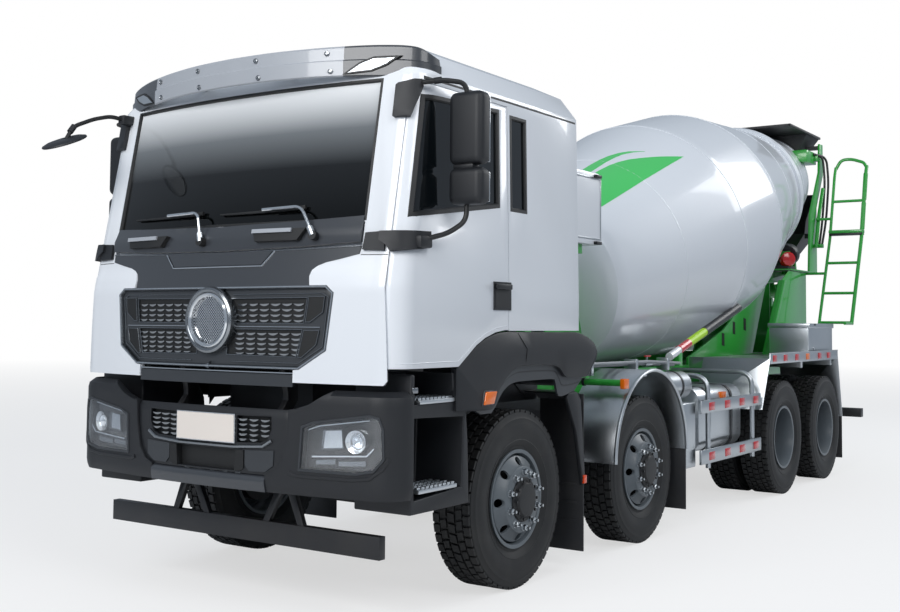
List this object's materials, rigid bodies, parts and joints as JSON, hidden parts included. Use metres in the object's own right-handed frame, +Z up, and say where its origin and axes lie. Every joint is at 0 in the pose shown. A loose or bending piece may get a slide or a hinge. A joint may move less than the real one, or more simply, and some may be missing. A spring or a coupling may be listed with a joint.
{
  "type": "concrete mixer truck",
  "caption": "Forward-control truck with paired steered axles and a rear bogie, carrying an inclined rotating mixing drum with a loading hopper and folding discharge chute.",
  "frame": {"origin": "centre of the footprint, on the ground", "axes": "+X forwards, +Y to the truck's left, +Z up"},
  "size_m": [10.1144, 3.01, 3.98],
  "materials": {
    "cab_paint": "gloss",
    "dark_plastic": "textured",
    "grille_metal": "satin",
    "tinted_glass": "tinted",
    "lamp_glass": "clear",
    "interior": "matt",
    "seat_fabric": "woven",
    "tyre_rubber": "matt",
    "wheel_paint": "satin",
    "chassis_paint": "satin",
    "engine_paint": "satin",
    "mixer_green": "gloss",
    "drum_paint": "gloss",
    "hopper_paint": "satin",
    "stainless": "brushed",
    "flap_rubber": "matt",
    "tank_paint": "satin",
    "water_tank_paint": "gloss"
  },
  "bodies": {
    "chassis": {"axles": "chassis_paint", "chassis_frame": "chassis_paint", "engine": "engine_paint", "sub_frame": "mixer_green", "leaf_springs": "chassis_paint", "bumper": "dark_plastic", "lamps": "lamp_glass", "underrun_bars": "chassis_paint", "cab_steps": "dark_plastic", "wheel_arches": "dark_plastic", "mudguards": "stainless", "mudflaps": "flap_rubber", "side_guards": "mixer_green", "tanks": "tank_paint", "steel_boxes": "stainless", "water_tank": "water_tank_paint", "front_support": "mixer_green", "rear_pedestal": "mixer_green", "hopper": "hopper_paint", "ladder": "mixer_green"},
    "cab": {"cab_shell": "cab_paint", "front_panel": "cab_paint", "front_trim": "dark_plastic", "grille": "grille_metal", "cab_glass": "tinted_glass", "sun_visor": "dark_plastic", "dashboard": "interior", "seats": "seat_fabric", "look_down_mirror": "dark_plastic"},
    "door_left": {"door_left": "cab_paint", "door_glass_left": "tinted_glass", "mirror_left": "dark_plastic"},
    "door_right": {"door_right": "cab_paint", "door_glass_right": "tinted_glass", "mirror_right": "dark_plastic"},
    "drum": {"drum": "drum_paint"},
    "drum_roller_left": {"drum_roller_left": "chassis_paint"},
    "drum_roller_right": {"drum_roller_right": "chassis_paint"},
    "swing_chute": {"swing_chute": "mixer_green"},
    "fold_chute": {"fold_chute": "mixer_green"},
    "wheel_1_left": {"tyre_1_left": "tyre_rubber", "rim_1_left": "wheel_paint"},
    "wheel_1_right": {"tyre_1_right": "tyre_rubber", "rim_1_right": "wheel_paint"},
    "wheel_2_left": {"tyre_2_left": "tyre_rubber", "rim_2_left": "wheel_paint"},
    "wheel_2_right": {"tyre_2_right": "tyre_rubber", "rim_2_right": "wheel_paint"},
    "wheel_3_left": {"tyre_3_left": "tyre_rubber", "rim_3_left": "wheel_paint"},
    "wheel_3_right": {"tyre_3_right": "tyre_rubber", "rim_3_right": "wheel_paint"},
    "wheel_4_left": {"tyre_4_left": "tyre_rubber", "rim_4_left": "wheel_paint"},
    "wheel_4_right": {"tyre_4_right": "tyre_rubber", "rim_4_right": "wheel_paint"},
    "knuckle_1_left": {"knuckle_1_left": "chassis_paint"},
    "knuckle_1_right": {"knuckle_1_right": "chassis_paint"},
    "knuckle_2_left": {"knuckle_2_left": "chassis_paint"},
    "knuckle_2_right": {"knuckle_2_right": "chassis_paint"}
  },
  "joints": [
    {"name": "steer_1_left", "type": "hinge", "parent": "chassis", "child": "knuckle_1_left", "pos_m": [3.3, 0.85, 0.53953], "axis": [0, 0, 1], "range_deg": [-35, 35]},
    {"name": "steer_1_right", "type": "hinge", "parent": "chassis", "child": "knuckle_1_right", "pos_m": [3.3, -0.85, 0.53953], "axis": [0, 0, 1], "range_deg": [-35, 35]},
    {"name": "steer_2_left", "type": "hinge", "parent": "chassis", "child": "knuckle_2_left", "pos_m": [1.5, 0.85, 0.53953], "axis": [0, 0, 1], "range_deg": [-25, 25]},
    {"name": "steer_2_right", "type": "hinge", "parent": "chassis", "child": "knuckle_2_right", "pos_m": [1.5, -0.85, 0.53953], "axis": [0, 0, 1], "range_deg": [-25, 25]},
    {"name": "spin_1_left", "type": "hinge", "parent": "knuckle_1_left", "child": "wheel_1_left", "pos_m": [3.3, 1.03, 0.53953], "axis": [0, 1, 0], "continuous": true},
    {"name": "spin_1_right", "type": "hinge", "parent": "knuckle_1_right", "child": "wheel_1_right", "pos_m": [3.3, -1.03, 0.53953], "axis": [0, 1, 0], "continuous": true},
    {"name": "spin_2_left", "type": "hinge", "parent": "knuckle_2_left", "child": "wheel_2_left", "pos_m": [1.5, 1.03, 0.53953], "axis": [0, 1, 0], "continuous": true},
    {"name": "spin_2_right", "type": "hinge", "parent": "knuckle_2_right", "child": "wheel_2_right", "pos_m": [1.5, -1.03, 0.53953], "axis": [0, 1, 0], "continuous": true},
    {"name": "spin_3_left", "type": "hinge", "parent": "chassis", "child": "wheel_3_left", "pos_m": [-1.6, 1.03, 0.53953], "axis": [0, 1, 0], "continuous": true},
    {"name": "spin_3_right", "type": "hinge", "parent": "chassis", "child": "wheel_3_right", "pos_m": [-1.6, -1.03, 0.53953], "axis": [0, 1, 0], "continuous": true},
    {"name": "spin_4_left", "type": "hinge", "parent": "chassis", "child": "wheel_4_left", "pos_m": [-2.95, 1.03, 0.53953], "axis": [0, 1, 0], "continuous": true},
    {"name": "spin_4_right", "type": "hinge", "parent": "chassis", "child": "wheel_4_right", "pos_m": [-2.95, -1.03, 0.53953], "axis": [0, 1, 0], "continuous": true},
    {"name": "cab_tilt", "type": "hinge", "parent": "chassis", "child": "cab", "pos_m": [4.6, 0, 1], "axis": [0, 1, 0], "range_deg": [0, 50]},
    {"name": "door_left_swing", "type": "hinge", "parent": "cab", "child": "door_left", "pos_m": [4.64, 1.178, 2], "axis": [0, 0, -1], "range_deg": [0, 65]},
    {"name": "door_right_swing", "type": "hinge", "parent": "cab", "child": "door_right", "pos_m": [4.64, -1.178, 2], "axis": [0, 0, 1], "range_deg": [0, 65]},
    {"name": "drum_spin", "type": "hinge", "parent": "chassis", "child": "drum", "pos_m": [1.02, 0, 1.92], "axis": [-0.9674, 0, 0.2531], "continuous": true},
    {"name": "roller_left_spin", "type": "hinge", "parent": "chassis", "child": "drum_roller_left", "pos_m": [-3.81794, 0.56967, 2.43192], "axis": [-0.9674, 0, 0.2531], "continuous": true},
    {"name": "roller_right_spin", "type": "hinge", "parent": "chassis", "child": "drum_roller_right", "pos_m": [-3.81794, -0.56967, 2.43192], "axis": [-0.9674, 0, 0.2531], "continuous": true},
    {"name": "chute_swing", "type": "hinge", "parent": "chassis", "child": "swing_chute", "pos_m": [-4.86, 0, 1.7], "axis": [0, 0, -1], "range_deg": [0, 150]},
    {"name": "chute_fold", "type": "hinge", "parent": "swing_chute", "child": "fold_chute", "pos_m": [-4.86, -1.13159, 1.90623], "axis": [1, 0, 0], "range_deg": [0, 180]}
  ],
  "couplings": [
    {"joint": "steer_1_right", "follows": "steer_1_left", "ratio": 1},
    {"joint": "steer_2_left", "follows": "steer_1_left", "ratio": 0.68},
    {"joint": "steer_2_right", "follows": "steer_1_left", "ratio": 0.68},
    {"joint": "roller_left_spin", "follows": "drum_spin", "ratio": -6.4},
    {"joint": "roller_right_spin", "follows": "drum_spin", "ratio": -6.4}
  ]
}
